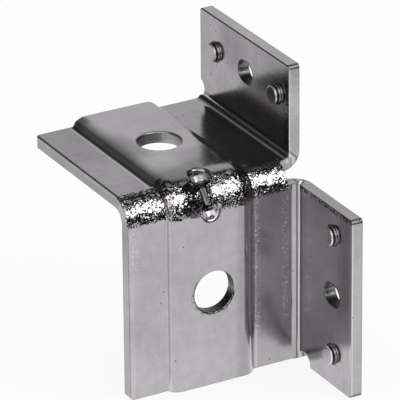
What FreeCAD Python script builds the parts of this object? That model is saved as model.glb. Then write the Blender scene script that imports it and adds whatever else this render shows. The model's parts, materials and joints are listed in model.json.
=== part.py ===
import FreeCAD, Part

import math
import os

import Sketcher

# A mounting bracket folded from one piece of 3 mm zinc-plated steel sheet.
# It has two legs at a right angle, a shallow rib pressed along both, a gusset dent where the
# rib turns the corner, and a flange along the right edge of each leg.
#
# While it is drawn, X runs to the right along the fold, Y runs back and Z runs up. The two
# legs' outer faces meet, if extended, on the line Y = 0, Z = 0, and the left edge is X = 0.
# The finished body is then moved so that the origin is the middle of the bolt hole in the
# front leg, on the face where a washer sits.

SIZES = [
    ("sheet_thickness", 3.0, "thickness of the steel sheet"),
    ("overall_width", 50.3, "left edge to the flanges' outer face"),
    ("front_leg_height", 53.0, "top leg's upper face to the front leg's lower edge"),
    ("top_leg_depth", 48.0, "front leg's outer face to the top leg's far edge"),
    ("main_bend_radius", 6.5, "outer radius of the fold between the legs"),
    ("flange_bend_radius", 1.8, "inner radius of the fold at each flange"),
    ("front_flange_reach", 26.5, "front leg's outer face to the front flange's free edge"),
    ("top_flange_height", 24.8, "top leg's upper face to the top flange's free edge"),
    ("front_flange_start", 4.8, "front flange's upper end, below the top leg's face"),
    ("top_flange_start", 3.8, "top flange's front end, behind the front leg's face"),
    ("fold_end_inset", 0.6, "fold's right end, left of where the flanges start to turn"),
    ("rib_centre", 22.7, "left edge to the rib's middle"),
    ("rib_foot_width", 24.4, "rib's width at its foot"),
    ("rib_raise", 2.2, "height of the rib above the leg's face"),
    ("rib_left_angle", 62.0, "steepest slope of the rib's left wall, in degrees"),
    ("rib_left_rounded", 0.3, "share of the left wall that its rounded shoulder takes up"),
    ("rib_ease_drop", 1.0, "how much lower the rib's left shoulder is than its face"),
    ("rib_ease_width", 3.0, "width of the easy slope from that shoulder up to the face"),
    ("rib_ease_radius", 4.2, "rounding where that slope meets the face"),
    ("rib_right_angle", 50.0, "steepest slope of the rib's right wall, in degrees"),
    ("rib_right_rounded", 0.7, "share of the right wall that its rounded shoulder takes up"),
    ("rib_foot_radius", 0.4, "crease along the rib's foot"),
    ("bolt_hole_diameter", 11.0, "clearance hole for a 10 mm bolt"),
    ("bolt_hole_rim", 0.4, "rounding of a bolt hole's outer rim"),
    ("front_hole_drop", 27.8, "front leg's hole, below the top leg's face"),
    ("top_hole_back", 25.3, "top leg's hole, behind the front leg's face"),
    ("slot_width", 5.5, "width of the screw slots"),
    ("slot_length", 7.0, "length of the screw slots, from front to back"),
    ("front_slot_drop", 28.4, "front flange's slot, below the top leg's face"),
    ("front_slot_forward", 17.2, "front flange's slot, in front of the front leg's face"),
    ("top_slot_back", 25.2, "top flange's slot, behind the front leg's face"),
    ("top_slot_height", 15.3, "top flange's slot, above the top leg's face"),
    ("pip_diameter", 4.9, "locating pips pressed out of the flanges"),
    ("pip_height", 1.5, "how far a pip stands out"),
    ("pip_bevel", 0.3, "bevel round a pip's end"),
    ("front_pip_spacing", 32.4, "between the front flange's two pips"),
    ("top_pip_spacing", 30.4, "between the top flange's two pips"),
    ("gusset_end_radius", 2.4, "radius of the round ends of the gusset's channel"),
    ("gusset_waist_radius", 1.5, "radius of the channel between its ends"),
    ("gusset_shift", 0.8, "channel's middle, left of the rib's middle"),
    ("gusset_foot_drop", 5.9, "middle of its lower end, below the top leg's face"),
    ("gusset_foot_forward", 0.5, "middle of its lower end, in front of the rib"),
    ("gusset_head_back", 3.8, "middle of its upper end, behind the front leg's face"),
    ("gusset_head_sink", 0.9, "middle of its upper end, below the rib's upper face"),
    ("gusset_rim", 0.9, "rounding of the channel's rim, and of the bulge's foot"),
    ("gusset_wall", 2.2, "metal beside the channel"),
    ("front_relief_radius", 3.2, "bite out of the front flange's lower end"),
    ("front_relief_forward", 3.6, "middle of that bite, in front of the front leg's face"),
    ("top_relief_radius", 2.2, "bite out of the top flange's far end"),
    ("top_relief_height", 2.9, "middle of that bite, above the top leg's face"),
    ("top_relief_beyond", 0.4, "middle of that bite, past the top leg's far edge"),
    ("corner_radius", 1.0, "rounding of the sheet's free corners"),
]


class Size:
    """A length or angle of the sheet, or one worked out from them: its number and its formula."""

    def __init__(self, number, formula):
        self.number = number
        self.formula = formula

    def __add__(self, other):
        other = as_size(other)
        return Size(self.number + other.number, "(%s + %s)" % (self.formula, other.formula))

    def __sub__(self, other):
        other = as_size(other)
        return Size(self.number - other.number, "(%s - %s)" % (self.formula, other.formula))

    def __mul__(self, other):
        other = as_size(other)
        return Size(self.number * other.number, "(%s * %s)" % (self.formula, other.formula))

    def __truediv__(self, other):
        other = as_size(other)
        return Size(self.number / other.number, "(%s / %s)" % (self.formula, other.formula))

    def __neg__(self):
        return Size(-self.number, "(0 - %s)" % self.formula)


def as_size(value):
    if isinstance(value, Size):
        return value
    return Size(float(value), repr(float(value)))


def tangent_of(angle):
    """Tangent of an angle in degrees."""
    return Size(math.tan(math.radians(angle.number)), "tan(%s * 1 deg)" % angle.formula)


def sine_of(angle):
    """Sine of an angle in degrees."""
    return Size(math.sin(math.radians(angle.number)), "sin(%s * 1 deg)" % angle.formula)


def larger_of(one, other):
    number = max(one.number, other.number)
    return Size(number, "max(%s; %s)" % (one.formula, other.formula))


def hypotenuse_of(one, other):
    number = math.hypot(one.number, other.number)
    return Size(number, "sqrt(pow(%s; 2) + pow(%s; 2))" % (one.formula, other.formula))


def slant_of(across, up):
    """The angle, in degrees, by which a line that rises this far and runs this far leans over."""
    number = math.degrees(math.atan2(across.number, up.number))
    return Size(number, "atan2(%s; %s)" % (across.formula, up.formula))


doc = FreeCAD.newDocument("mounting_bracket")
sheet = doc.addObject("Spreadsheet::Sheet", "Sizes")
for row, (alias, value, meaning) in enumerate(SIZES, start=1):
    sheet.set("A%d" % row, meaning)
    sheet.set("B%d" % row, str(value))
    sheet.setAlias("B%d" % row, alias)
doc.recompute()


def size(alias):
    return Size(float(sheet.get(alias)), "Sizes.%s" % alias)


thickness = size("sheet_thickness")
width = size("overall_width")
front_leg_height = size("front_leg_height")
top_leg_depth = size("top_leg_depth")
bend = size("main_bend_radius")
flange_bend = size("flange_bend_radius")
rib_centre = size("rib_centre")
rib_raise = size("rib_raise")
fold_end = width - thickness - flange_bend - size("fold_end_inset")

body = doc.addObject("PartDesign::Body", "bracket")
body.Label = "bracket"


def origin_plane(role):
    for feature in body.Origin.OriginFeatures:
        if feature.Role == role:
            return feature
    raise RuntimeError("the body has no " + role)


def new_sketch(name, role, across, up, along):
    """A sketch parallel to one of the body's origin planes, moved in that plane's own axes."""
    sketch = body.newObject("Sketcher::SketchObject", name)
    sketch.AttachmentSupport = (origin_plane(role), [""])
    sketch.MapMode = "FlatFace"
    for axis, distance in (("x", across), ("y", up), ("z", along)):
        sketch.setExpression("AttachmentOffset.Base." + axis, as_size(distance).formula)
    return sketch


def fix_point(sketch, index, end, x, y):
    """Holds a point of the sketch at (x, y), measured from the sketch's origin."""
    for kind, distance in (("DistanceX", x), ("DistanceY", y)):
        distance = as_size(distance)
        constraint = Sketcher.Constraint(kind, -1, 1, index, end, distance.number)
        number = sketch.addConstraint(constraint)
        sketch.setExpression("Constraints[%d]" % number, distance.formula)


def fix_radius(sketch, index, radius):
    number = sketch.addConstraint(Sketcher.Constraint("Radius", index, radius.number))
    sketch.setExpression("Constraints[%d]" % number, radius.formula)


def vector(x, y):
    return FreeCAD.Vector(as_size(x).number, as_size(y).number, 0)


def draw_circle(sketch, x, y, radius):
    circle = Part.Circle(vector(x, y), FreeCAD.Vector(0, 0, 1), radius.number)
    index = sketch.addGeometry(circle, False)
    fix_radius(sketch, index, radius)
    fix_point(sketch, index, 3, x, y)


def rounding_arc(before, corner, after, radius):
    """The arc that rounds a corner, its tangent points, and whether it turns to the left."""
    inward = (before - corner).normalize()
    outward = (after - corner).normalize()
    half_angle = inward.getAngle(outward) / 2
    tangent_length = radius / math.tan(half_angle)
    centre_distance = radius / math.sin(half_angle)
    start = corner + inward * tangent_length
    end = corner + outward * tangent_length
    centre = corner + (inward + outward).normalize() * centre_distance
    turns_left = (corner - before).cross(after - corner).z > 0
    circle = Part.Circle(centre, FreeCAD.Vector(0, 0, 1), radius)
    first, last = (start, end) if turns_left else (end, start)
    arc = Part.ArcOfCircle(circle, circle.parameter(first), circle.parameter(last))
    return arc, start, end, turns_left


def draw_outline(sketch, corners):
    """A closed outline through its corners, each (x, y) or, where it is rounded, (x, y, radius).

    Each corner is held in both directions. Where a corner is rounded, a construction point
    stays at the sharp corner and the two sides pass through it.
    """
    points = [vector(corner[0], corner[1]) for corner in corners]
    count = len(corners)
    starts = list(points)
    ends = list(points)
    arcs = {}
    for i, corner in enumerate(corners):
        if len(corner) == 3:
            before = points[i - 1]
            after = points[(i + 1) % count]
            arc, start, end, turns_left = rounding_arc(before, points[i], after, corner[2].number)
            starts[i] = start
            ends[i] = end
            arcs[i] = (sketch.addGeometry(arc, False), turns_left)
    lines = []
    for i in range(count):
        side = Part.LineSegment(ends[i], starts[(i + 1) % count])
        lines.append(sketch.addGeometry(side, False))
    for i, corner in enumerate(corners):
        side_in = lines[i - 1]
        side_out = lines[i]
        if i not in arcs:
            sketch.addConstraint(Sketcher.Constraint("Coincident", side_in, 2, side_out, 1))
            fix_point(sketch, side_out, 1, corner[0], corner[1])
            continue
        arc_index, turns_left = arcs[i]
        first, last = (1, 2) if turns_left else (2, 1)
        sketch.addConstraint(Sketcher.Constraint("Tangent", side_in, 2, arc_index, first))
        sketch.addConstraint(Sketcher.Constraint("Tangent", arc_index, last, side_out, 1))
        fix_radius(sketch, arc_index, corner[2])
        sharp = sketch.addGeometry(Part.Point(points[i]), True)
        sketch.addConstraint(Sketcher.Constraint("PointOnObject", sharp, 1, side_in))
        sketch.addConstraint(Sketcher.Constraint("PointOnObject", sharp, 1, side_out))
        fix_point(sketch, sharp, 1, corner[0], corner[1])


def draw_slot(sketch, x, y, slot_width, slot_length):
    """A slot with round ends, long in the sketch's first direction."""
    radius = slot_width / 2
    half_straight = (slot_length - slot_width) / 2
    left = x - half_straight
    right = x + half_straight
    arcs = []
    for centre, first, last in ((left, 90, 270), (right, -90, 90)):
        circle = Part.Circle(vector(centre, y), FreeCAD.Vector(0, 0, 1), radius.number)
        arc = Part.ArcOfCircle(circle, math.radians(first), math.radians(last))
        arcs.append(sketch.addGeometry(arc, False))
        fix_radius(sketch, arcs[-1], radius)
        fix_point(sketch, arcs[-1], 3, centre, y)
    lower = sketch.addGeometry(Part.LineSegment(vector(left, y - radius), vector(right, y - radius)))
    upper = sketch.addGeometry(Part.LineSegment(vector(right, y + radius), vector(left, y + radius)))
    sketch.addConstraint(Sketcher.Constraint("Tangent", arcs[0], 2, lower, 1))
    sketch.addConstraint(Sketcher.Constraint("Tangent", lower, 2, arcs[1], 1))
    sketch.addConstraint(Sketcher.Constraint("Tangent", arcs[1], 2, upper, 1))
    sketch.addConstraint(Sketcher.Constraint("Tangent", upper, 2, arcs[0], 1))


def add_feature(kind, name, sketch, length, away=False):
    """A pad or pocket of a sketch, along the sketch's normal or, if away, against it."""
    feature = body.newObject("PartDesign::" + kind, name)
    feature.Profile = sketch
    feature.Type = "Length"
    feature.setExpression("Length", length.formula)
    feature.Reversed = away
    feature.Refine = True


def dress_edges(kind, name, test, measure, length):
    """A fillet or chamfer, of this length, on each edge of the body so far that passes the test.
    The measure is what such a feature calls its length."""
    doc.recompute()
    base = body.Tip
    names = []
    for number, edge in enumerate(base.Shape.Edges, start=1):
        if test(edge):
            names.append("Edge%d" % number)
    if not names:
        raise RuntimeError("no edge found for " + name)
    feature = body.newObject("PartDesign::" + kind, name)
    feature.Base = (base, names)
    feature.setExpression(measure, length.formula)


def rounded(name, test, radius):
    dress_edges("Fillet", name, test, "Radius", radius)


def bevelled(name, test, width_of_bevel):
    dress_edges("Chamfer", name, test, "Size", width_of_bevel)


def is_ring(edge, radius, centre_axis, centre_at):
    """Whether an edge is a circle of this radius whose centre is at this place along an axis."""
    if not isinstance(edge.Curve, Part.Circle) or abs(edge.Curve.Radius - radius.number) > 0.001:
        return False
    return abs(getattr(edge.Curve.Center, centre_axis) - as_size(centre_at).number) < 0.001


def is_corner(edge, places):
    """Whether a straight edge keeps to two places, given as pairs of an axis and a distance."""
    if not isinstance(edge.Curve, Part.Line):
        return False
    for axis, distance in places:
        for vertex in edge.Vertexes:
            if abs(getattr(vertex.Point, axis) - as_size(distance).number) > 0.001:
                return False
    return True


# The ribbed strip that both legs and the fold between them are made of.


def rib_wall(side):
    """Of the rib's left or right wall: how far it runs sideways as it rises, how far its back
    is set in from its front, the radius of its shoulder, and of the crease behind that."""
    angle = size("rib_%s_angle" % side)
    half_turn = tangent_of(angle / 2)
    crease = size("rib_foot_radius")
    run = rib_raise / tangent_of(angle)
    set_in = thickness * half_turn
    above_crease = rib_raise / sine_of(angle) - crease * half_turn
    shoulder = above_crease * size("rib_%s_rounded" % side) / half_turn
    return run, set_in, shoulder, larger_of(shoulder - thickness, crease)


def draw_ribbed_strip(sketch, outward):
    """The strip's cross-section. The sketch's first axis is the fold's own axis, and outward
    is 1 or -1, whichever of its second direction leads out of the fold."""
    half_foot = size("rib_foot_width") / 2
    crease = size("rib_foot_radius")
    inner_shoulder = crease + thickness
    left_run, left_set_in, left_shoulder, left_inner_crease = rib_wall("left")
    ease_drop = size("rib_ease_drop")
    ease_width = size("rib_ease_width")
    eased_run = left_run * (rib_raise - ease_drop) / rib_raise
    right_run, right_set_in, right_shoulder, right_inner_crease = rib_wall("right")
    left = rib_centre - half_foot
    right = rib_centre + half_foot
    face = bend * outward
    rib_face = (bend + rib_raise) * outward
    back = (bend - thickness) * outward
    rib_back = (bend + rib_raise - thickness) * outward
    draw_outline(sketch, [
        (0, face),
        (left, face, crease),
        (left + eased_run, rib_face - ease_drop * outward, left_shoulder),
        (left + eased_run + ease_width / 2, rib_face, size("rib_ease_radius")),
        (right - right_run, rib_face, right_shoulder),
        (right, face, crease),
        (fold_end, face),
        (fold_end, back),
        (right - right_set_in, back, inner_shoulder),
        (right - right_set_in - right_run, rib_back, right_inner_crease),
        (left + left_set_in + left_run, rib_back, left_inner_crease),
        (left + left_set_in, back, inner_shoulder),
        (0, back),
    ])


front_section = new_sketch("front_leg_section", "XY_Plane", 0, bend, -bend)
draw_ribbed_strip(front_section, -1)
add_feature("Pad", "front_leg", front_section, front_leg_height - bend, away=True)

fold_section = new_sketch("fold_section", "XY_Plane", 0, bend, -bend)
draw_ribbed_strip(fold_section, -1)
fold = body.newObject("PartDesign::Revolution", "fold")
fold.Profile = fold_section
fold.ReferenceAxis = (fold_section, ["H_Axis"])
fold.Angle = 90
fold.Reversed = True
fold.Refine = True

top_section = new_sketch("top_leg_section", "XZ_Plane", 0, -bend, -bend)
draw_ribbed_strip(top_section, 1)
add_feature("Pad", "top_leg", top_section, top_leg_depth - bend, away=True)


# The flanges along the right edge of each leg.


def draw_flange(sketch, outward, reach):
    """A flange's cross-section, from the leg's edge round its fold to the free edge."""
    outer_bend = flange_bend + thickness
    draw_outline(sketch, [
        (fold_end, 0),
        (width - thickness, 0, flange_bend),
        (width - thickness, reach * outward),
        (width, reach * outward),
        (width, thickness * -outward, outer_bend),
        (fold_end, thickness * -outward),
    ])


front_flange_start = size("front_flange_start")
flange_section = new_sketch("front_flange_section", "XY_Plane", 0, 0, -front_flange_start)
draw_flange(flange_section, -1, size("front_flange_reach"))
add_feature("Pad", "front_flange", flange_section, front_leg_height - front_flange_start, away=True)

top_flange_start = size("top_flange_start")
flange_section = new_sketch("top_flange_section", "XZ_Plane", 0, 0, -top_flange_start)
draw_flange(flange_section, 1, size("top_flange_height"))
add_feature("Pad", "top_flange", flange_section, top_leg_depth - top_flange_start, away=True)

# The gusset: a round channel pressed into the rib's fold, with its bulge inside the fold.

gusset_centre = rib_centre - size("gusset_shift")
end_radius = size("gusset_end_radius")
waist_radius = size("gusset_waist_radius")
bulge_radius = end_radius + size("gusset_wall")
foot_y = -(rib_raise + size("gusset_foot_forward"))
foot_z = -size("gusset_foot_drop")
head_y = size("gusset_head_back")
head_z = rib_raise - size("gusset_head_sink")
gusset_run = head_y - foot_y
gusset_rise = head_z - foot_z
half_gusset = hypotenuse_of(gusset_run, gusset_rise) / 2
gusset_tip = half_gusset + end_radius


def gusset_sketch(name):
    """A sketch on the gusset's middle plane. Its second axis is the channel's own, from the
    lower end to the upper one, and its first axis leads into the fold."""
    sketch = new_sketch(name, "YZ_Plane", (foot_y + head_y) / 2, (foot_z + head_z) / 2, gusset_centre)
    slant = slant_of(gusset_run, gusset_rise)
    offset = sketch.AttachmentOffset
    offset.Rotation = FreeCAD.Rotation(FreeCAD.Vector(0, 0, -1), slant.number)
    sketch.AttachmentOffset = offset
    sketch.setExpression("AttachmentOffset.Rotation.Angle", slant.formula)
    return sketch


def turn(kind, name, sketch):
    """A full turn of a sketch about its second axis."""
    feature = body.newObject("PartDesign::" + kind, name)
    feature.Profile = sketch
    feature.ReferenceAxis = (sketch, ["V_Axis"])
    feature.Angle = 360
    feature.Refine = True


def from_channel_axis(point):
    """A point's distance from the line through the middles of the channel's two ends."""
    foot = FreeCAD.Vector(gusset_centre.number, foot_y.number, foot_z.number)
    along = FreeCAD.Vector(0, gusset_run.number, gusset_rise.number)
    return point.distanceToLine(foot, along)


def is_bulge_foot(edge):
    """Whether an edge lies on the bulge's round surface."""
    return all(abs(from_channel_axis(point) - bulge_radius.number) < 0.01
               for point in edge.discretize(5))


def on_rib(point):
    """Whether a point lies on the rib's outer surface, on either leg or on the fold."""
    out = math.hypot(max(bend.number - point.y, 0), max(bend.number + point.z, 0))
    return abs(out - (bend + rib_raise).number) < 0.001


def is_channel_rim(edge):
    """Whether an edge is where the channel's surface meets the rib's outer surface."""
    return all(on_rib(point) and from_channel_axis(point) < end_radius.number + 0.01
               for point in edge.discretize(5))


bulge = gusset_sketch("gusset_bulge_section")
draw_outline(bulge, [
    (-bulge_radius, -gusset_tip),
    (0, -gusset_tip),
    (0, gusset_tip),
    (-bulge_radius, gusset_tip),
])
turn("Revolution", "gusset_bulge", bulge)

# Whatever of the bulge stands outside the rib is cut off again, flush with the rib.

well_clear = gusset_tip * 2
outside = new_sketch("gusset_outside", "YZ_Plane", 0, 0, gusset_centre + bulge_radius + rib_raise)
draw_outline(outside, [
    (-rib_raise, -well_clear),
    (-rib_raise, rib_raise, bend + rib_raise),
    (well_clear, rib_raise),
    (well_clear, well_clear),
    (-well_clear, well_clear),
    (-well_clear, -well_clear),
])
add_feature("Pocket", "gusset_flush", outside, (bulge_radius + rib_raise) * 2)
rounded("gusset_bulge_foot", is_bulge_foot, size("gusset_rim"))

# Each end of the channel is all but a half ball. The last hair of it, which is outside the
# metal, stays flat so that the outline keeps a side there.

ball = end_radius * 0.98
neck = half_gusset - end_radius
full_width = half_gusset - end_radius / 2
channel = gusset_sketch("gusset_channel_section")
draw_outline(channel, [
    (0, -gusset_tip),
    (0, gusset_tip),
    (-end_radius, gusset_tip, ball),
    (-end_radius, full_width, waist_radius),
    (-waist_radius, neck, waist_radius),
    (-waist_radius, -neck, waist_radius),
    (-end_radius, -full_width, waist_radius),
    (-end_radius, -gusset_tip, ball),
])
turn("Groove", "gusset_channel", channel)
rounded("gusset_channel_rim", is_channel_rim, size("gusset_rim"))


# The bolt holes, one through the middle of the rib on each leg.

bolt_hole_radius = size("bolt_hole_diameter") / 2
front_hole_drop = size("front_hole_drop")
top_hole_back = size("top_hole_back")


def add_hole(name, sketch):
    """A pocket right through the sheet, away from the sketch."""
    pocket = body.newObject("PartDesign::Pocket", name)
    pocket.Profile = sketch
    pocket.Type = "ThroughAll"
    pocket.Refine = True


hole = new_sketch("front_hole_outline", "XZ_Plane", 0, 0, rib_raise)
draw_circle(hole, rib_centre, -front_hole_drop, bolt_hole_radius)
add_hole("front_hole", hole)

hole = new_sketch("top_hole_outline", "XY_Plane", 0, 0, rib_raise)
draw_circle(hole, rib_centre, top_hole_back, bolt_hole_radius)
add_hole("top_hole", hole)

rounded("bolt_hole_rims",
        lambda edge: is_ring(edge, bolt_hole_radius, "y", -rib_raise)
        or is_ring(edge, bolt_hole_radius, "z", rib_raise),
        size("bolt_hole_rim"))


# Each flange has a screw slot between two pips, pressed halfway through the sheet.

front_slot_y = -size("front_slot_forward")
front_slot_z = -size("front_slot_drop")
top_slot_y = size("top_slot_back")
top_slot_z = size("top_slot_height")
front_pip_offset = size("front_pip_spacing") / 2
top_pip_offset = size("top_pip_spacing") / 2
pip_radius = size("pip_diameter") / 2
pip_height = size("pip_height")


def draw_pips(sketch):
    draw_circle(sketch, front_slot_y, front_slot_z + front_pip_offset, pip_radius)
    draw_circle(sketch, front_slot_y, front_slot_z - front_pip_offset, pip_radius)
    draw_circle(sketch, top_slot_y + top_pip_offset, top_slot_z, pip_radius)
    draw_circle(sketch, top_slot_y - top_pip_offset, top_slot_z, pip_radius)


pips = new_sketch("pip_outlines", "YZ_Plane", 0, 0, width - thickness / 2)
draw_pips(pips)
add_feature("Pad", "pips", pips, pip_height + thickness / 2, away=True)
pip_end = width - thickness - pip_height
bevelled("pip_ends", lambda edge: is_ring(edge, pip_radius, "x", pip_end), size("pip_bevel"))

recesses = new_sketch("pip_recess_outlines", "YZ_Plane", 0, 0, width)
draw_pips(recesses)
add_feature("Pocket", "pip_recesses", recesses, pip_height)

slots = new_sketch("slot_outlines", "YZ_Plane", 0, 0, width)
draw_slot(slots, front_slot_y, front_slot_z, size("slot_width"), size("slot_length"))
draw_slot(slots, top_slot_y, top_slot_z, size("slot_width"), size("slot_length"))
add_hole("slots", slots)


# A round bite at the root of each flange's outer end, which frees its fold.

reliefs = new_sketch("relief_outlines", "YZ_Plane", 0, 0, width)
draw_circle(reliefs, -size("front_relief_forward"), -front_leg_height, size("front_relief_radius"))
draw_circle(reliefs, top_leg_depth + size("top_relief_beyond"), size("top_relief_height"),
            size("top_relief_radius"))
add_feature("Pocket", "reliefs", reliefs, width - fold_end)

# The sheet's free corners.

FREE_CORNERS = [
    (("x", 0), ("z", -front_leg_height)),
    (("x", 0), ("y", top_leg_depth)),
    (("y", -size("front_flange_reach")), ("z", -front_leg_height)),
    (("y", -size("front_flange_reach")), ("z", -front_flange_start)),
    (("y", top_flange_start), ("z", size("top_flange_height"))),
    (("y", top_leg_depth), ("z", size("top_flange_height"))),
]
rounded("free_corners",
        lambda edge: any(is_corner(edge, places) for places in FREE_CORNERS),
        size("corner_radius"))

# The origin moves to the front leg's bolt hole, on the face where a washer sits.

body.setExpression("Placement.Base.x", "0 - " + rib_centre.formula)
body.setExpression("Placement.Base.y", rib_raise.formula)
body.setExpression("Placement.Base.z", front_hole_drop.formula)
doc.recompute()

for item in doc.Objects:
    if "Invalid" in item.State or "Error" in item.State:
        raise RuntimeError("%s could not be made: %s" % (item.Name, item.State))

os.makedirs("parts", exist_ok=True)
for part in doc.findObjects("PartDesign::Body"):
    if part.Shape.isNull() or not part.Shape.isValid():
        raise RuntimeError(part.Label + " has no valid shape")
    part.Shape.exportStep("parts/%s.step" % part.Label)
    print(part.Label, round(part.Shape.Volume, 1), "mm3")
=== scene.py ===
import json
import math

import bpy
from mathutils import Matrix, Vector

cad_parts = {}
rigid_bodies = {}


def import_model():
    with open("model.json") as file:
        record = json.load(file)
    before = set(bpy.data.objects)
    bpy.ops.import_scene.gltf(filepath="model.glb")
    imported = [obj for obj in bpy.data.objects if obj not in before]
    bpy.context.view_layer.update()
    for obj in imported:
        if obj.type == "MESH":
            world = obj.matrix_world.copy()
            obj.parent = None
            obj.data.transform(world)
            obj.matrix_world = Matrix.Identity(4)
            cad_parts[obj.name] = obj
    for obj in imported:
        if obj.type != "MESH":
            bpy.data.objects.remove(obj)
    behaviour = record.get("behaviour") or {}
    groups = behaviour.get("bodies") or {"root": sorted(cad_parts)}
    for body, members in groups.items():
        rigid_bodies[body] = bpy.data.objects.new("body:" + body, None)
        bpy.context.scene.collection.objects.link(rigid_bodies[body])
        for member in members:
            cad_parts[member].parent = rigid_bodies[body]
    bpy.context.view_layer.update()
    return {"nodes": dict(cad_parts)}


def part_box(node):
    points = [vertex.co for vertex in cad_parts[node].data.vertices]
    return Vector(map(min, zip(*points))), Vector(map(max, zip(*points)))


for leftover in list(bpy.data.objects):
    bpy.data.objects.remove(leftover)

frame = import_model()

MM = 0.001

# The bracket's own sizes, in millimetres, in the frame whose origin is the front leg's bolt
# hole. X runs along the fold, Y runs back and Z runs up.

BRACKET_LOW, BRACKET_HIGH = (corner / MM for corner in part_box("bracket"))
SHEET = 3.0
FOLD_RADIUS = 6.5
RIB_RAISE = 2.2
RIB_HALF_FOOT = 12.2
LEG_FACE_Y = RIB_RAISE
TOP_FACE_Z = 27.8
FOLD_AXIS_Y = LEG_FACE_Y + FOLD_RADIUS
FOLD_AXIS_Z = TOP_FACE_Z - FOLD_RADIUS
FLANGE_FACE_X = BRACKET_HIGH.x - SHEET
FLANGE_BEND = 1.8
FOLD_END_X = FLANGE_FACE_X - FLANGE_BEND - 0.6
FRONT_FLANGE_TOP_Z = TOP_FACE_Z - 4.8
TOP_FLANGE_FRONT_Y = LEG_FACE_Y + 3.8
BOLT_HOLE_RADIUS = 5.5
TOP_HOLE_Y = 27.5
SLOT_RADIUS = 2.75
SLOT_HALF_STRAIGHT = 0.75
FRONT_SLOT = (-15.0, -0.6)
TOP_SLOT = (27.4, 43.1)
PIP_RADIUS = 2.45
PIP_HEIGHT = 1.5
FRONT_PIP_RISE = 16.2
TOP_PIP_RUN = 15.2

# The gusset channel: the middles of its two ends, and the radius of those ends.

GUSSET_FOOT = Vector((-0.8, -0.5, 21.9))
GUSSET_HEAD = Vector((-0.8, 6.0, 29.1))
GUSSET_END_RADIUS = 2.4

# A point this near to a face counts as lying on it.

HAIR = 0.05

# The studio's places and sizes, in metres.

BRACKET_MIDDLE = (BRACKET_LOW + BRACKET_HIGH) / 2 * MM
HALF_FLOOR = 3.0
CARD_DISTANCE = 0.8
CARD_STEPS = 16


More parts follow.
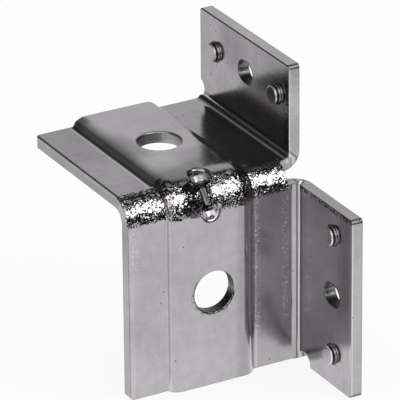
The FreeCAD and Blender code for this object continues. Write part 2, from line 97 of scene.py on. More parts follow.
class Shader:
    """Builds the nodes of one material or world with short calls."""

    def __init__(self, owner):
        owner.use_nodes = True
        self.tree = owner.node_tree
        self.tree.nodes.clear()

    def node(self, kind, inputs=None, **settings):
        """A node with its settings made and its inputs set or linked. Returns the node."""
        made = self.tree.nodes.new("ShaderNode" + kind)
        for name, value in settings.items():
            setattr(made, name, value)
        for name, value in (inputs or {}).items():
            self.feed(made.inputs[name], value)
        return made

    def feed(self, socket, value):
        if isinstance(value, bpy.types.NodeSocket):
            self.tree.links.new(value, socket)
        else:
            socket.default_value = value

    def math(self, operation, *values):
        made = self.node("Math", operation=operation)
        for socket, value in zip(made.inputs, values):
            self.feed(socket, value)
        return made.outputs[0]

    def add(self, *values):
        total = values[0]
        for value in values[1:]:
            total = self.math("ADD", total, value)
        return total

    def times(self, *values):
        product = values[0]
        for value in values[1:]:
            product = self.math("MULTIPLY", product, value)
        return product

    def either(self, *masks):
        largest = masks[0]
        for mask in masks[1:]:
            largest = self.math("MAXIMUM", largest, mask)
        return largest

    def above(self, value, limit):
        """1 where value is greater than the limit, and 0 elsewhere."""
        return self.math("GREATER_THAN", value, limit)

    def below(self, value, limit):
        """1 where value is less than the limit, and 0 elsewhere."""
        return self.math("LESS_THAN", value, limit)

    def without(self, mask, share=1.0):
        """1 less a share of the mask."""
        return self.math("MULTIPLY_ADD", mask, -share, 1.0)

    def shades(self, *pairs):
        """One factor from pairs of a mask and a share: each takes off its share, or adds to the
        tone where the share is negative."""
        return self.times(*(self.without(mask, share) for mask, share in pairs))

    def lights(self, *pairs):
        """One tone from pairs of a mask and the tone that the mask adds."""
        return self.add(*(self.times(mask, tone) for mask, tone in pairs))

    def blend(self, mask, low, high):
        """low where the mask is 0 and high where it is 1."""
        made = self.node("Mix", {"Factor": mask, "A": low, "B": high}, data_type="FLOAT")
        return made.outputs["Result"]

    def ramp(self, value, start, end, low=0.0, high=1.0):
        """Runs smoothly from low, where value is start, to high, where it is end."""
        made = self.node("MapRange", {
            "Value": value, "From Min": start, "From Max": end, "To Min": low, "To Max": high,
        }, interpolation_type="SMOOTHSTEP")
        return made.outputs["Result"]

    def band(self, value, start, end, soft):
        """1 where value lies between start and end, with a soft step on each side."""
        rise = self.ramp(value, start - soft, start + soft)
        fall = self.ramp(value, end - soft, end + soft, 1.0, 0.0)
        return self.times(rise, fall)

    def at(self, value, target, reach=0.06):
        """1 where value is within reach of the target."""
        return self.math("COMPARE", value, target, reach)

    def line(self, value, target, half_width):
        """1 where value is the target, falling softly to 0 on both sides."""
        return self.ramp(self.math("ABSOLUTE", self.add(value, -target)), half_width, 0.0)

    def distance(self, u, v, centre, half_straight=0.0):
        """Distance of (u, v) from a point, or from a short straight along u."""
        du = self.add(u, -centre[0])
        if half_straight:
            du = self.math("MAXIMUM", self.add(self.math("ABSOLUTE", du), -half_straight), 0.0)
        dv = self.add(v, -centre[1])
        return self.math("SQRT", self.add(self.times(du, du), self.times(dv, dv)))

    def vector(self, x, y, z):
        return self.node("CombineXYZ", {"X": x, "Y": y, "Z": z}).outputs[0]

    def vectors(self, operation, *values):
        """A sum or product of vectors, component by component."""
        return self.node("VectorMath", dict(enumerate(values)), operation=operation).outputs[0]

    def scaled(self, vector, factor):
        return self.node("VectorMath", {0: vector, 3: factor}, operation="SCALE").outputs[0]

    def noise(self, vector, scale, detail, roughness):
        """Even noise about 0, mostly between -0.25 and 0.25."""
        made = self.node("TexNoise", {
            "Vector": vector, "Scale": scale, "Detail": detail, "Roughness": roughness,
        })
        return self.add(made.outputs["Fac"], -0.5)

    def flecks(self, vector, scale, share):
        """1 in this share of small cells, picked at random."""
        cells = self.node("TexVoronoi", {"Vector": vector, "Scale": scale}).outputs["Color"]
        number = self.node("SeparateColor", {"Color": cells}).outputs["Red"]
        return self.below(number, share)

    def pits(self, vector, scale, share):
        """1 in small round pits, in the middle of this share of the cells. The vector is flat."""
        cells = self.node("TexVoronoi", {"Vector": vector, "Scale": scale},
                          voronoi_dimensions="2D")
        number = self.node("SeparateColor", {"Color": cells.outputs["Color"]}).outputs["Green"]
        near = self.ramp(cells.outputs["Distance"], 0.12, 0.06)
        return self.times(near, self.below(number, share))

    def facets(self, vector, scale, amount):
        """A lean of the surface, even within each small cell: slight in most, strong in a few."""
        cells = self.node("TexVoronoi", {"Vector": vector, "Scale": scale}).outputs["Color"]
        lean = self.vectors("MULTIPLY_ADD", cells, (2.0, 2.0, 2.0), (-1.0, -1.0, -1.0))
        cubed = self.vectors("MULTIPLY", lean, self.vectors("MULTIPLY", lean, lean))
        return self.scaled(cubed, amount)

    def grey(self, value):
        """A grey of this brightness, a shade short of green, as zinc plating is."""
        green = self.times(value, 0.965)
        return self.node("CombineColor", {"Red": value, "Green": green, "Blue": value}).outputs[0]

    def place(self, output):
        """A position in millimetres, whole and split into x, y and z."""
        whole = self.scaled(output, 1 / MM)
        return whole, self.node("SeparateXYZ", {0: whole}).outputs


def sheet_directions(s, x, y, z):
    """The sheet's own directions: across the legs and up the flanges, and along the legs."""
    flange_reach = s.add(s.math("MAXIMUM", s.add(s.times(y, -1.0), LEG_FACE_Y), 0.0),
                         s.math("MAXIMUM", s.add(z, -TOP_FACE_Z), 0.0))
    across = s.add(x, s.times(flange_reach, s.above(x, FOLD_END_X)))
    along = s.math("SUBTRACT", s.math("MAXIMUM", y, 0.0), s.math("MINIMUM", z, TOP_FACE_Z))
    return across, along


def outline_faces(s, x, y, z, reach=0.06):
    """1 within reach of the faces where the sheet's outline was sheared."""
    return s.either(
        s.at(x, BRACKET_LOW.x, reach),
        s.at(y, BRACKET_LOW.y, reach),
        s.at(z, BRACKET_LOW.z, reach),
        s.at(y, BRACKET_HIGH.y, reach),
        s.at(z, BRACKET_HIGH.z, reach),
        s.times(s.at(z, FRONT_FLANGE_TOP_Z, reach), s.above(x, FOLD_END_X)),
        s.times(s.at(y, TOP_FLANGE_FRONT_Y, reach), s.above(x, FOLD_END_X)),
    )


def hole_walls(s, x, y, z):
    """1 on the walls of the bolt holes and slots."""
    bolt_hole = BOLT_HOLE_RADIUS + HAIR
    slot = SLOT_RADIUS + HAIR
    front_hole = s.times(s.below(s.distance(x, z, (0.0, 0.0)), bolt_hole),
                         s.below(y, FOLD_AXIS_Y))
    top_hole = s.times(s.below(s.distance(x, y, (0.0, TOP_HOLE_Y)), bolt_hole),
                       s.above(z, FOLD_AXIS_Z))
    slots = s.either(
        s.below(s.distance(y, z, FRONT_SLOT, SLOT_HALF_STRAIGHT), slot),
        s.below(s.distance(y, z, TOP_SLOT, SLOT_HALF_STRAIGHT), slot),
    )
    return s.either(front_hole, top_hole, s.times(slots, s.above(x, FOLD_END_X)))


def fold_masks(s, x, y, z):
    """Masks of the fold's strained and grainy part, of the band within it where the lamp's
    highlight falls, of the bend that gets a painted highlight, and of the fringe of painted
    dark flecks where the left strip leaves the fold."""
    up = s.add(z, -FOLD_AXIS_Z)
    out = s.add(s.times(y, -1.0), FOLD_AXIS_Y)

    # The angle is 0 where the fold leaves the front leg, and 90 where it reaches the top leg.
    angle = s.math("DEGREES", s.math("ARCTAN2", up, out))
    before_end = s.ramp(x, FOLD_END_X + 0.1, FOLD_END_X)
    outside = s.ramp(s.distance(y, z, (FOLD_AXIS_Y, FOLD_AXIS_Z)),
                     FOLD_RADIUS - 0.6, FOLD_RADIUS - 0.2)
    strained = s.times(s.band(angle, 3.0, 63.0, 6.0), before_end, outside)
    highlight_band = s.band(angle, 29.0, 49.0, 5.0)
    # A painted highlight: the bend's colour is made lighter where the lamp's highlight falls.
    bend_highlight = s.times(s.band(angle, 15.0, 66.0, 3.0), before_end,
                       s.above(up, -1.0), s.above(out, -1.0))
    fringe = s.times(s.band(angle, 64.0, 84.0, 5.0), outside,
                     s.ramp(x, -RIB_HALF_FOOT + 0.2, -RIB_HALF_FOOT - 0.4))
    return strained, highlight_band, bend_highlight, fringe


def gusset_marks(s, x, y, z):
    """Masks of the inside of the gusset's channel, of its waist, which gets painted shade, and of
    its far wall, and the sideways lean of the surface that the pressing drew in."""
    middle = (GUSSET_FOOT + GUSSET_HEAD) / 2
    channel = (GUSSET_HEAD - GUSSET_FOOT).normalized()
    from_y = s.add(y, -middle.y)
    from_z = s.add(z, -middle.z)
    run = s.add(s.times(from_y, channel.y), s.times(from_z, channel.z))
    lift = s.add(s.times(from_z, channel.y), s.times(from_y, -channel.z))
    aside = s.add(x, -middle.x)
    away = s.math("SQRT", s.add(s.times(aside, aside), s.times(lift, lift)))
    inside = s.ramp(away, GUSSET_END_RADIUS + 0.3, GUSSET_END_RADIUS)
    between_ends = s.times(inside, s.band(run, -3.2, 3.4, 0.7))
    # Painted shade darkens the channel's waist.
    waist_shade = s.times(between_ends, s.ramp(aside, 1.3, 0.7))
    far_wall = s.times(between_ends, s.ramp(aside, 0.5, 1.2))
    on_left = s.below(aside, 0.0)
    draw_in = s.times(s.ramp(away, s.blend(on_left, 8.0, 7.4), s.blend(on_left, 3.6, 5.4)),
                      s.ramp(away, 1.8, 2.6), s.band(run, -5.0, 3.5, 1.5),
                      s.ramp(lift, -1.5, -0.7))
    lean = s.add(s.times(s.math("SIGN", aside), draw_in, -0.42), s.times(far_wall, 0.9))
    return inside, waist_shade, far_wall, lean


def flange_lines(s, y, z, across, at_flange, level):
    """Along the flanges' folds: masks of the painted shade in the creases and of the painted
    highlight lines, and the forward lean of the front one."""
    creases = s.times(at_flange, s.add(
        s.line(across, FLANGE_FACE_X + 0.28, 0.42), s.line(across, FLANGE_FACE_X + 2.2, 0.4)))
    highlit = s.times(at_flange, s.add(
        s.line(across, FLANGE_FACE_X + 1.2, 0.40),
        s.times(s.line(across, FLANGE_FACE_X - 0.6, 0.40), level)))
    front = s.times(at_flange, s.ramp(y, LEG_FACE_Y + 0.5, LEG_FACE_Y + 0.1),
                    s.ramp(z, FRONT_FLANGE_TOP_Z + 0.3, FRONT_FLANGE_TOP_Z))
    lean = s.times(front, s.line(across, FLANGE_FACE_X + 1.27, 0.42), -1.2)
    return creases, highlit, lean


def pip_marks(s, x, y, z):
    """Masks of the locating pips' sides, of the rings on those sides that get painted highlights,
    and of the ring of painted shade in the corner round each pip."""
    places = [(FRONT_SLOT[0], FRONT_SLOT[1] + rise) for rise in (-FRONT_PIP_RISE, FRONT_PIP_RISE)]
    places += [(TOP_SLOT[0] + run, TOP_SLOT[1]) for run in (-TOP_PIP_RUN, TOP_PIP_RUN)]
    nearest = s.distance(y, z, places[0])
    for place in places[1:]:
        nearest = s.math("MINIMUM", nearest, s.distance(y, z, place))
    inward = s.add(s.times(x, -1.0), FLANGE_FACE_X)
    sides = s.times(s.band(nearest, PIP_RADIUS - 0.30, PIP_RADIUS + 0.10, 0.05),
                    s.band(inward, 0.06, PIP_HEIGHT + 0.10, 0.04))
    highlit = s.either(s.line(inward, 0.30, 0.30), s.line(inward, PIP_HEIGHT - 0.12, 0.34))
    corners = s.times(s.band(nearest, PIP_RADIUS - 0.05, PIP_RADIUS + 0.40, 0.10),
                      s.band(inward, -0.10, 0.06, 0.04))
    return sides, s.times(sides, highlit), corners


def edge_light_and_shade(s, x, y, z, flecks):
    """Masks of the painted shade and of the painted highlights along the sheared edges, and of the
    flanges' rounded corners, which get painted shade."""
    on_flange = s.at(x, FLANGE_FACE_X, HAIR)
    leg_edge = s.times(s.ramp(x, BRACKET_LOW.x + 0.75, BRACKET_LOW.x + 0.40),
                       s.above(z, TOP_FACE_Z - HAIR))
    top_edge = s.times(on_flange, s.ramp(z, BRACKET_HIGH.z - 0.50, BRACKET_HIGH.z - 0.30))
    front_edge = s.times(on_flange, s.band(z, FRONT_FLANGE_TOP_Z - 1.3, FRONT_FLANGE_TOP_Z, 0.3),
                         s.ramp(y, LEG_FACE_Y, LEG_FACE_Y - 1.0), flecks)
    near_edge = s.times(on_flange, s.ramp(y, TOP_FLANGE_FRONT_Y + 3.6, TOP_FLANGE_FRONT_Y + 1.2),
                        s.ramp(z, BRACKET_HIGH.z - 2.0, BRACKET_HIGH.z - 5.0), flecks,
                        s.above(z, TOP_FACE_Z))
    dark = s.either(leg_edge, top_edge, front_edge, s.times(near_edge, 0.7))
    sides = s.either(s.at(y, BRACKET_LOW.y, HAIR), s.at(y, TOP_FLANGE_FRONT_Y, HAIR))
    rims = s.times(sides, s.band(x, FLANGE_FACE_X, FLANGE_FACE_X + 0.35, 0.10))
    highlit = s.times(on_flange, s.band(y, BRACKET_LOW.y + 0.3, BRACKET_LOW.y + 1.0, 0.2),
                     s.ramp(z, BRACKET_LOW.z + 4.0, BRACKET_LOW.z + 12.0))
    bright = s.either(rims, s.times(highlit, 0.5))
    level = s.either(s.at(z, FRONT_FLANGE_TOP_Z, 1.0), s.at(z, BRACKET_HIGH.z, 1.0),
                     s.at(z, BRACKET_LOW.z, 1.0))
    upright = s.either(s.at(y, BRACKET_LOW.y, 1.0), s.at(y, TOP_FLANGE_FRONT_Y, 1.0),
                       s.at(y, BRACKET_HIGH.y, 1.0))
    corners = s.times(level, upright, s.above(x, FLANGE_FACE_X + HAIR))
    return dark, bright, corners


def hole_shading(s, x, y, z, flecks):
    """Masks of the painted shade in and round the holes: in the slots, on the front hole's lower
    wall, and in specks beside that hole."""
    front_away = s.distance(y, z, FRONT_SLOT, SLOT_HALF_STRAIGHT)
    top_away = s.distance(y, z, TOP_SLOT, SLOT_HALF_STRAIGHT)
    nearest = s.math("MINIMUM", front_away, top_away)
    rims = s.times(s.band(nearest, SLOT_RADIUS + 0.08, SLOT_RADIUS + 0.40, 0.08),
                   s.at(x, FLANGE_FACE_X, HAIR))
    in_slots = s.times(s.below(nearest, SLOT_RADIUS + HAIR),
                       s.band(x, FLANGE_FACE_X - HAIR, FLANGE_FACE_X + SHEET + HAIR, 0.04))
    above_front = s.add(z, -FRONT_SLOT[1])
    above_top = s.add(z, -TOP_SLOT[1])
    bars = s.either(s.line(above_front, 0.5, 0.50),
                    s.times(s.ramp(above_front, -1.3, -1.9), s.below(z, FOLD_AXIS_Z)),
                    s.times(s.ramp(above_top, -1.2, -2.0), s.above(z, FOLD_AXIS_Z)))
    front_hole = s.distance(x, z, (0.0, 0.0))
    in_sheet = s.below(y, SHEET + 0.1)
    lower_wall = s.times(s.below(front_hole, BOLT_HOLE_RADIUS + 0.45), in_sheet,
                         s.ramp(z, -0.5, -2.0), s.blend(flecks, 0.55, 1.0))
    beside = s.times(s.band(front_hole, BOLT_HOLE_RADIUS, BOLT_HOLE_RADIUS + 0.9, 0.5), in_sheet,
                     s.ramp(s.add(x, z), 1.5, -3.0), flecks, 0.65)
    return s.either(rims, s.times(in_slots, bars), lower_wall, beside)


def face_light_and_shade(s, x, y, z):
    """The broad, soft painted light and shade over the flat faces, as one factor: lighter and
    darker patches where the metal's reflections are brighter and darker.
    """
    before_end = s.below(x, FOLD_END_X)
    on_front = s.times(s.ramp(y, LEG_FACE_Y + 0.8, LEG_FACE_Y + 0.2), before_end)
    right_wall = s.times(on_front, s.band(x, RIB_HALF_FOOT - 2.2, RIB_HALF_FOOT, 0.3))
    shoulder = s.times(on_front, s.band(x, 6.5, 10.0, 1.5))
    lower = s.times(on_front, s.ramp(z, -4.0, -22.0), s.ramp(x, 12.0, 10.0))
    right_strip = s.times(on_front, s.band(x, 13.0, 23.0, 0.5), s.ramp(z, 20.0, 4.0),
                          s.ramp(z, -16.0, -8.0))

    on_top = s.times(s.ramp(z, TOP_FACE_Z - 0.8, TOP_FACE_Z - 0.2), before_end)
    left_strip = s.times(on_top, s.below(x, -RIB_HALF_FOOT), s.ramp(y, 20.0, 34.0))
    rib_top = s.times(on_top, s.band(x, -9.0, 11.5, 1.5), s.ramp(y, 12.0, 16.0))
    rib_left = s.times(on_top, s.ramp(x, -3.5, -8.0),
                       s.ramp(x, -RIB_HALF_FOOT, -RIB_HALF_FOOT + 1.2),
                       s.band(y, 21.0, 36.0, 4.0))
    rib_right = s.times(on_top, s.band(x, -1.0, 9.0, 2.0), s.band(y, 10.0, 20.0, 3.0))
    rib_edge = s.times(on_top, s.line(x, 10.0, 1.2), s.ramp(y, 20.0, 26.0))
    near_fold = s.times(on_top, s.ramp(y, 14.0, 9.0), s.band(x, -12.0, 1.0, 1.0))
    back_corner = s.times(on_top, s.ramp(x, -8.0, -10.5),
                          s.ramp(x, -RIB_HALF_FOOT - 0.2, -RIB_HALF_FOOT),
                          s.ramp(y, 44.5, 48.0))

    on_flange = s.band(x, FLANGE_FACE_X - 1.6, FLANGE_FACE_X + HAIR, 0.04)
    flange_far = s.times(on_flange, s.ramp(y, 24.0, 38.0), s.ramp(z, TOP_FACE_Z, 34.0))
    flange_dim = s.times(on_flange, s.ramp(s.distance(y, z, (34.0, 48.0)), 9.0, 3.0))
    slanting = s.add(z, s.times(y, 0.53))
    flange_foot = s.times(on_flange, s.band(slanting, -25.5, -22.3, 0.8),
                          s.ramp(y, -17.0, -7.5), s.ramp(y, 2.0, 0.0))

    left_cut = s.times(s.at(x, BRACKET_LOW.x), s.ramp(z, 22.0, 18.0))
    near_cut = s.times(s.at(y, TOP_FLANGE_FRONT_Y), s.above(x, FOLD_END_X))
    factor = s.shades(
        (rib_top, -0.22), (left_strip, 0.14), (rib_left, 0.36), (rib_right, 0.20),
        (shoulder, 0.18), (right_strip, -0.14), (lower, -0.12), (near_fold, 0.38),
        (back_corner, 0.75), (flange_far, -0.20), (flange_dim, 0.24), (flange_foot, 0.68),
        (right_wall, -0.20), (left_cut, 0.14), (rib_edge, 0.35),
    )
    return s.times(factor, s.blend(near_cut, 1.0, s.ramp(z, 34.0, 44.0, 0.82, 1.18)))


def painted_highlights(s, x, y, z, whole, on_top):
    """The tone that painted highlights add: pale lines and flecks beside the rib, the edges and
    the creases.
    """
    in_front = s.below(y, LEG_FACE_Y + 0.1)
    rib_wall = s.times(s.band(x, -RIB_HALF_FOOT + 0.1, -8.0, 0.1), on_top,
                       s.ramp(z, TOP_FACE_Z + HAIR, TOP_FACE_Z + 0.4),
                       s.ramp(z, TOP_FACE_Z + RIB_RAISE - HAIR, TOP_FACE_Z + 1.6))
    foot_top = s.times(s.line(x, -RIB_HALF_FOOT - 1.1, 0.40), on_top)
    foot_front = s.times(s.line(x, -RIB_HALF_FOOT + 0.35, 0.4), in_front)
    strip_front = s.times(s.line(x, RIB_HALF_FOOT + 0.75, 0.5), in_front)
    edge_front = s.times(s.band(x, BRACKET_LOW.x + 0.3, BRACKET_LOW.x + 1.4, 0.3), in_front)
    flange_flecks = s.times(s.at(x, FLANGE_FACE_X, HAIR), s.band(z, 30.6, 32.6, 0.6),
                            s.band(y, 19.0, 33.0, 3.0), s.flecks(whole, 2.6, 0.30))
    beside_creases = s.times(s.either(s.band(x, RIB_HALF_FOOT + 0.4, RIB_HALF_FOOT + 1.8, 0.3),
                                      s.band(x, FOLD_END_X - 1.8, FOLD_END_X + 0.1, 0.3)),
                             s.ramp(z, -17.0, -12.0))
    beside_edge = s.times(s.band(x, BRACKET_LOW.x + 0.4, BRACKET_LOW.x + 3.0, 0.8),
                          s.ramp(z, 4.0, 12.0))
    speckles = s.times(s.either(beside_creases, s.times(beside_edge, 0.45)), in_front,
                       s.flecks(whole, 2.8, 0.22))
    return s.lights((rib_wall, 0.45), (foot_top, 0.20), (foot_front, 0.16), (strip_front, 0.16),
                    (edge_front, 0.05), (flange_flecks, 0.35), (speckles, 0.29))


def zinc_plate():
    """Zinc-plated sheet: satin rolled faces, a strained and grainy fold, rougher sheared edges."""
    material = bpy.data.materials.new("zinc_plate")
    s = Shader(material)
    whole, (x, y, z) = s.place(s.node("TexCoord").outputs["Object"])
    across, along = sheet_directions(s, x, y, z)
    level = s.above(z, TOP_FACE_Z - 1.0)
    at_flange = s.above(x, FOLD_END_X - 1.0)
    on_top = s.times(s.above(y, FOLD_AXIS_Y), s.above(z, TOP_FACE_Z - HAIR))

    outline = outline_faces(s, x, y, z)
    walls = hole_walls(s, x, y, z)
    strained, highlight_band, bend_highlight, fringe = fold_masks(s, x, y, z)
    in_channel, waist_shade, far_wall, gusset_lean = gusset_marks(s, x, y, z)
    creases, highlit, crease_lean = flange_lines(s, y, z, across, at_flange, level)
    pip_sides, pip_highlights, pip_corner_shade = pip_marks(s, x, y, z)
    coarse_flecks = s.flecks(whole, 2.0, 0.45)
    edge_shade, edge_highlight, corners = edge_light_and_shade(s, x, y, z, coarse_flecks)
    hole_shade = hole_shading(s, x, y, z, coarse_flecks)

    # Rolling streaks along the sheet, fainter ones across it, and unevenness of several sizes.
    streaks = s.noise(s.vector(s.times(across, 1.3), s.times(along, 0.05), 0.0), 1.0, 4.0, 0.6)
    cross = s.noise(s.vector(s.times(across, 0.07), s.times(along, 0.9), 3.0), 1.0, 3.0, 0.6)
    clouds = s.noise(whole, 0.09, 3.0, 0.55)
    mottle = s.noise(whole, 0.35, 2.0, 0.5)
    lumps = s.noise(whole, 0.45, 1.0, 0.5)
    grain = s.noise(whole, 1.7, 2.0, 0.6)
    fine = s.noise(whole, 5.0, 2.0, 0.5)
    pitted = s.pits(s.vector(across, along, 0.0), 0.35, 0.06)

    # The fold's stretched surface: small leaning facets, and painted dark reflections in flecks
    # between them.
    grainy = s.times(strained, s.either(s.without(in_channel), far_wall))
    crystals = s.facets(whole, 2.4, s.times(grainy, s.blend(highlight_band, 0.30, 0.20)))
    specks = s.facets(whole, 4.6, s.times(s.either(grainy, s.times(walls, 0.6)), 0.20))
    bulges = s.either(s.band(x, -11.5, -7.0, 1.0), s.band(x, 0.5, 7.5, 1.0))
    strip_share = s.ramp(x, -RIB_HALF_FOOT + 0.2, -RIB_HALF_FOOT - 0.4, 0.11, 0.24)
    dark_share = s.blend(highlight_band, 0.55, s.blend(bulges, strip_share, 0.03))
    dark_flecks = s.flecks(whole, 3.3,
                           s.either(s.times(grainy, dark_share), s.times(fringe, 0.75)))

    height = s.add(
        s.times(streaks, 0.008),
        s.times(cross, 0.010),
        s.times(lumps, strained, 0.45),
        s.times(grain, outline, 0.012),
        s.times(grain, walls, 0.12),
        s.times(fine, 0.006),
    )
    rounded = s.node("Bevel", {"Radius": 0.4 * MM}, samples=8).outputs[0]
    bumped = s.node("Bump", {
        "Strength": 1.0, "Distance": MM, "Height": height, "Normal": rounded,
    }).outputs[0]
    right_shoulder = s.times(strained, s.band(x, 8.4, 11.6, 1.6))
    sideways = s.add(gusset_lean, s.times(right_shoulder, 0.30))
    lean = s.vectors("ADD", s.vectors("ADD", crystals, specks),
                     s.vector(sideways, crease_lean, 0.0))
    normal = s.vectors("NORMALIZE", s.vectors("ADD", bumped, lean))

    # Where the rounded surface turns away from the true one there is an edge.
    facing = s.node("NewGeometry").outputs["Normal"]
    turned = s.node("VectorMath", {0: rounded, 1: facing}, operation="DOT_PRODUCT")
    edge = s.ramp(turned.outputs["Value"], 0.99, 0.90)
    # Painted shade along the sheared faces' rounded edges.
    sheared_edge = s.times(edge, outline_faces(s, x, y, z, 0.7))

    # Painted shade: a dark line in the rib's left foot on the top leg, and a darker ring round the
    # top bolt hole.
    foot_crease_shade = s.times(s.band(x, -RIB_HALF_FOOT - 0.7, -RIB_HALF_FOOT, 0.12), on_top)
    from_top_hole = s.distance(x, y, (0.0, TOP_HOLE_Y))
    hole_rim_shade = s.times(on_top, s.band(from_top_hole, BOLT_HOLE_RADIUS,
                                      BOLT_HOLE_RADIUS + 0.45, 0.1))
    # Painted shade on the walls of the holes: darker in the top hole, and in the front hole
    # darkest towards the left.
    in_top_leg = s.times(s.above(z, TOP_FACE_Z - SHEET), s.below(x, FOLD_END_X))
    wall_shade = s.blend(in_top_leg, 0.55, s.ramp(x, -2.0, 2.0, 0.15, 0.95))
    tint = s.add(0.45, s.times(clouds, 0.16), s.times(mottle, 0.07), s.times(grain, 0.07),
                 s.times(streaks, 0.05), s.times(cross, s.blend(level, 0.02, 0.12)))
    # The tone, with painted shade in hollows, creases, holes and along edges, and a painted
    # highlight on the bend; the pits are real.
    tint = s.times(
        tint, face_light_and_shade(s, x, y, z), s.blend(walls, 1.0, wall_shade),
        s.add(1.0, s.times(outline, s.blend(level, 0.08, 0.24))),
        s.shades(
            (foot_crease_shade, 0.9), (pitted, 0.5), (bend_highlight, -0.33), (hole_rim_shade, 0.35), (waist_shade, 0.85),
            (creases, 0.70), (sheared_edge, 0.45), (hole_shade, 0.85), (edge_shade, 0.9),
            (corners, 0.55), (pip_corner_shade, 0.85), (dark_flecks, 0.9),
        ),
    )
    # Painted highlights: lines beside the flange creases, along the edges and beside the rib.
    tint = s.add(tint, s.lights((highlit, 0.30), (edge_highlight, 0.30)),
                 painted_highlights(s, x, y, z, whole, on_top))
    # Painted shade on the pips' sides, with painted highlight rings.
    tint = s.blend(pip_sides, tint, s.blend(pip_highlights, 0.05, 0.95))

    facing_flange = s.times(s.band(x, RIB_HALF_FOOT + 0.4, FOLD_END_X, 0.3),
                            s.ramp(y, LEG_FACE_Y + 0.8, LEG_FACE_Y + 0.2))
    roughness = s.add(0.17, s.times(streaks, 0.05), s.times(outline, 0.09), s.times(walls, 0.18))
    roughness = s.blend(strained, roughness, 0.10)
    roughness = s.blend(s.times(edge, s.without(outline)), roughness, 0.08)
    roughness = s.blend(s.either(pip_sides, corners), roughness, 0.40)
    roughness = s.add(roughness, s.times(facing_flange, 0.06))
    metal = s.node("BsdfPrincipled", {
        "Base Color": s.grey(tint), "Metallic": 1.0, "Roughness": roughness,
        "Normal": normal,
    })
    s.node("OutputMaterial", {"Surface": metal.outputs[0]})
    return material


def floor_white():
    """White paper: full white to the camera, with part of its real shade kept so that the
    bracket's shadow shows. In the metal's reflections it shows painted shade: darker behind,
    far in front, under the bracket as a painted shadow, and where the metal mirrors it twice.
    It is clear from below."""
    material = bpy.data.materials.new("floor_white")
    s = Shader(material)
    x, y = s.place(s.node("NewGeometry").outputs["Position"])[1][:2]
    rays = s.node("LightPath").outputs
    # Painted shade in the floor's glow as the metal mirrors it.
    behind_left = s.times(s.band(x, -300.0, 25.0, 15.0), s.band(y, 78.0, 380.0, 15.0))
    behind_right = s.times(s.band(x, 25.0, 400.0, 15.0), s.band(y, 60.0, 380.0, 15.0))
    twice = s.above(rays["Glossy Depth"], 1.5)
    under = s.times(s.band(x, -21.0, 27.0, 3.0), s.band(y, 6.0, 50.0, 4.0))
    out = s.distance(x, y, (0.0, 0.0))
    far_front = s.times(s.ramp(out, 172.0, 205.0), s.ramp(y, 0.0, -60.0))
    mirrored = s.shades((behind_left, 0.38), (behind_right, 0.25), (twice, 0.40), (under, 0.85),
                        (far_front, 0.97))
    strength = s.blend(rays["Is Camera Ray"], mirrored, 1.0)
    seen = s.either(rays["Is Camera Ray"], rays["Is Glossy Ray"], rays["Is Transmission Ray"])
    paper = s.node("BsdfDiffuse", {"Color": (0.9, 0.9, 0.9, 1.0)})
    glow = s.node("Emission", {"Color": (1.0, 1.0, 1.0, 1.0), "Strength": strength})
    own = s.node("MixShader", {
        0: s.times(rays["Is Glossy Ray"], far_front), 1: paper.outputs[0], 2: glow.outputs[0],
    })
    shown = s.node("MixShader", {0: s.times(seen, 0.87), 1: own.outputs[0], 2: glow.outputs[0]})
    clear = s.node("BsdfTransparent")
    back = s.node("NewGeometry").outputs["Backfacing"]
    both = s.node("MixShader", {0: back, 1: shown.outputs[0], 2: clear.outputs[0]})
    s.node("OutputMaterial", {"Surface": both.outputs[0]})
    return material


def mesh_object(name, vertices, faces, material):
    mesh = bpy.data.meshes.new(name)
    mesh.from_pydata(vertices, [], faces)
    mesh.materials.append(material)
    made = bpy.data.objects.new(name, mesh)
    bpy.context.scene.collection.objects.link(made)
    return made


def compass(bearing, elevation):
    """The direction at a bearing, in degrees clockwise from straight back, and an elevation."""
    b = math.radians(bearing)
    e = math.radians(elevation)
    return Vector((math.sin(b) * math.cos(e), math.cos(b) * math.cos(e), math.sin(e)))


def card_glow(name, strength, fades_to):
    """A card's surface: a grey that needs no lamp. fades_to is None, or gives another strength
    and the two bearings between which the card changes to it."""
    material = bpy.data.materials.new(name)
    s = Shader(material)
    if fades_to:
        x, y = s.place(s.node("NewGeometry").outputs["Position"])[1][:2]
        bearing = s.math("DEGREES", s.math("ARCTAN2", x, y))
        other, start, end = fades_to
        strength = s.ramp(bearing, start, end, strength, other)
    glow = s.node("Emission", {"Color": (1.0, 1.0, 1.0, 1.0), "Strength": strength})
    s.node("OutputMaterial", {"Surface": glow.outputs[0]})
    return material


def card(name, bearings, elevations, strength, fades_to=None):
    """A grey card round the bracket, seen only in its reflections: a patch of a sphere."""
    points = []
    for i in range(CARD_STEPS + 1):
        for j in range(CARD_STEPS + 1):
            bearing = bearings[0] + (bearings[1] - bearings[0]) * i / CARD_STEPS
            elevation = elevations[0] + (elevations[1] - elevations[0]) * j / CARD_STEPS
            points.append(BRACKET_MIDDLE + compass(bearing, elevation) * CARD_DISTANCE)
    row = CARD_STEPS + 1
    faces = []
    for i in range(CARD_STEPS):
        for j in range(CARD_STEPS):
            first = i * row + j
            faces.append((first, first + 1, first + row + 1, first + row))
    made = mesh_object(name, points, faces, card_glow(name, strength, fades_to))
    made.visible_camera = False
    made.visible_diffuse = False
    made.visible_shadow = False


def softbox(name, bearing, elevation, distance, width, height, radiance):
    """A rectangular lamp that faces the bracket."""
    lamp = bpy.data.lights.new(name, "AREA")
    lamp.shape = "RECTANGLE"
    lamp.size = width
    lamp.size_y = height
    lamp.energy = radiance * math.pi * width * height
    made = bpy.data.objects.new(name, lamp)
    direction = compass(bearing, elevation)
    made.location = BRACKET_MIDDLE + direction * distance
    made.rotation_euler = direction.to_track_quat("Z", "Y").to_euler()
    bpy.context.scene.collection.objects.link(made)


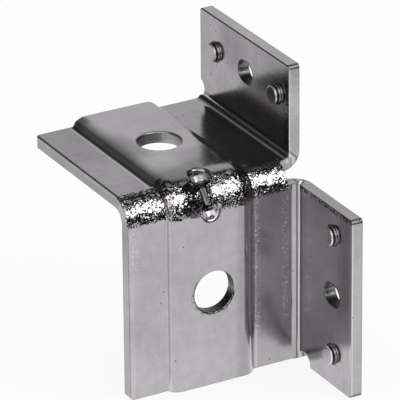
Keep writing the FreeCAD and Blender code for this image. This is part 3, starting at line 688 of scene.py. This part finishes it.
def make_world():
    """A pale room: white to the camera, and a little dimmer on matt surfaces and in mirrors."""
    world = bpy.data.worlds.new("studio")
    bpy.context.scene.world = world
    s = Shader(world)
    rays = s.node("LightPath").outputs
    seen = s.either(rays["Is Camera Ray"], rays["Is Transmission Ray"])
    strength = s.blend(rays["Is Glossy Ray"], s.blend(seen, 0.9, 1.0), 0.8)
    sky = s.node("Background", {"Color": (1.0, 1.0, 1.0, 1.0), "Strength": strength})
    s.node("OutputWorld", {"Surface": sky.outputs[0]})


def make_camera():
    """The photograph's view: a long lens, a little left of the front leg and above it."""
    azimuth = math.radians(-29.088)
    elevation = math.radians(24.805)
    roll = math.radians(-0.504)
    distance = 1126.9 * MM
    target = Vector((-1.359, 4.569, 23.312)) * MM
    back = Vector((
        math.sin(azimuth) * math.cos(elevation),
        -math.cos(azimuth) * math.cos(elevation),
        math.sin(elevation),
    ))
    level_right = Vector((math.cos(azimuth), math.sin(azimuth), 0.0))
    level_up = back.cross(level_right)
    right = level_right * math.cos(roll) + level_up * math.sin(roll)
    up = level_up * math.cos(roll) - level_right * math.sin(roll)
    camera = bpy.data.cameras.new("camera")
    camera.lens = 415.58
    camera.sensor_width = 36.0
    camera.clip_start = 0.1
    camera.clip_end = 20.0
    made = bpy.data.objects.new("camera", camera)
    turn = Matrix((right, up, back)).transposed().to_4x4()
    made.matrix_world = Matrix.Translation(target + back * distance) @ turn
    bpy.context.scene.collection.objects.link(made)
    bpy.context.scene.camera = made


bracket = frame["nodes"]["bracket"]
bracket.material_slots[0].material = zinc_plate()

floor_z = BRACKET_LOW.z * MM
floor = mesh_object("floor", [
    (-HALF_FLOOR, -HALF_FLOOR, floor_z),
    (HALF_FLOOR, -HALF_FLOOR, floor_z),
    (HALF_FLOOR, HALF_FLOOR, floor_z),
    (-HALF_FLOOR, HALF_FLOOR, floor_z),
], [(0, 1, 2, 3)], floor_white())

make_world()
softbox("key", bearing=150.0, elevation=40.0, distance=0.5, width=0.30, height=0.28, radiance=1.8)

# The cards' bearings and elevations are in degrees. The last number is the strength.

card("bright_front", (118.0, 252.0), (20.0, 57.0), 1.65)
card("bright_left", (252.0, 264.0), (0.0, 57.0), 1.3)
card("back", (-95.0, 80.0), (-3.0, 56.0), 0.05, fades_to=(0.64, -16.0, 25.0))
card("dark_overhead", (-95.0, 264.0), (57.0, 74.0), 0.02)
card("grey_overhead", (-95.0, 265.0), (74.0, 90.0), 0.6)
card("dark_right", (80.0, 118.0), (20.0, 57.0), 0.02)
card("dark_front_right", (80.0, 205.0), (-4.0, 20.0), 0.02)
make_camera()

scene = bpy.context.scene
scene.view_settings.view_transform = "Standard"
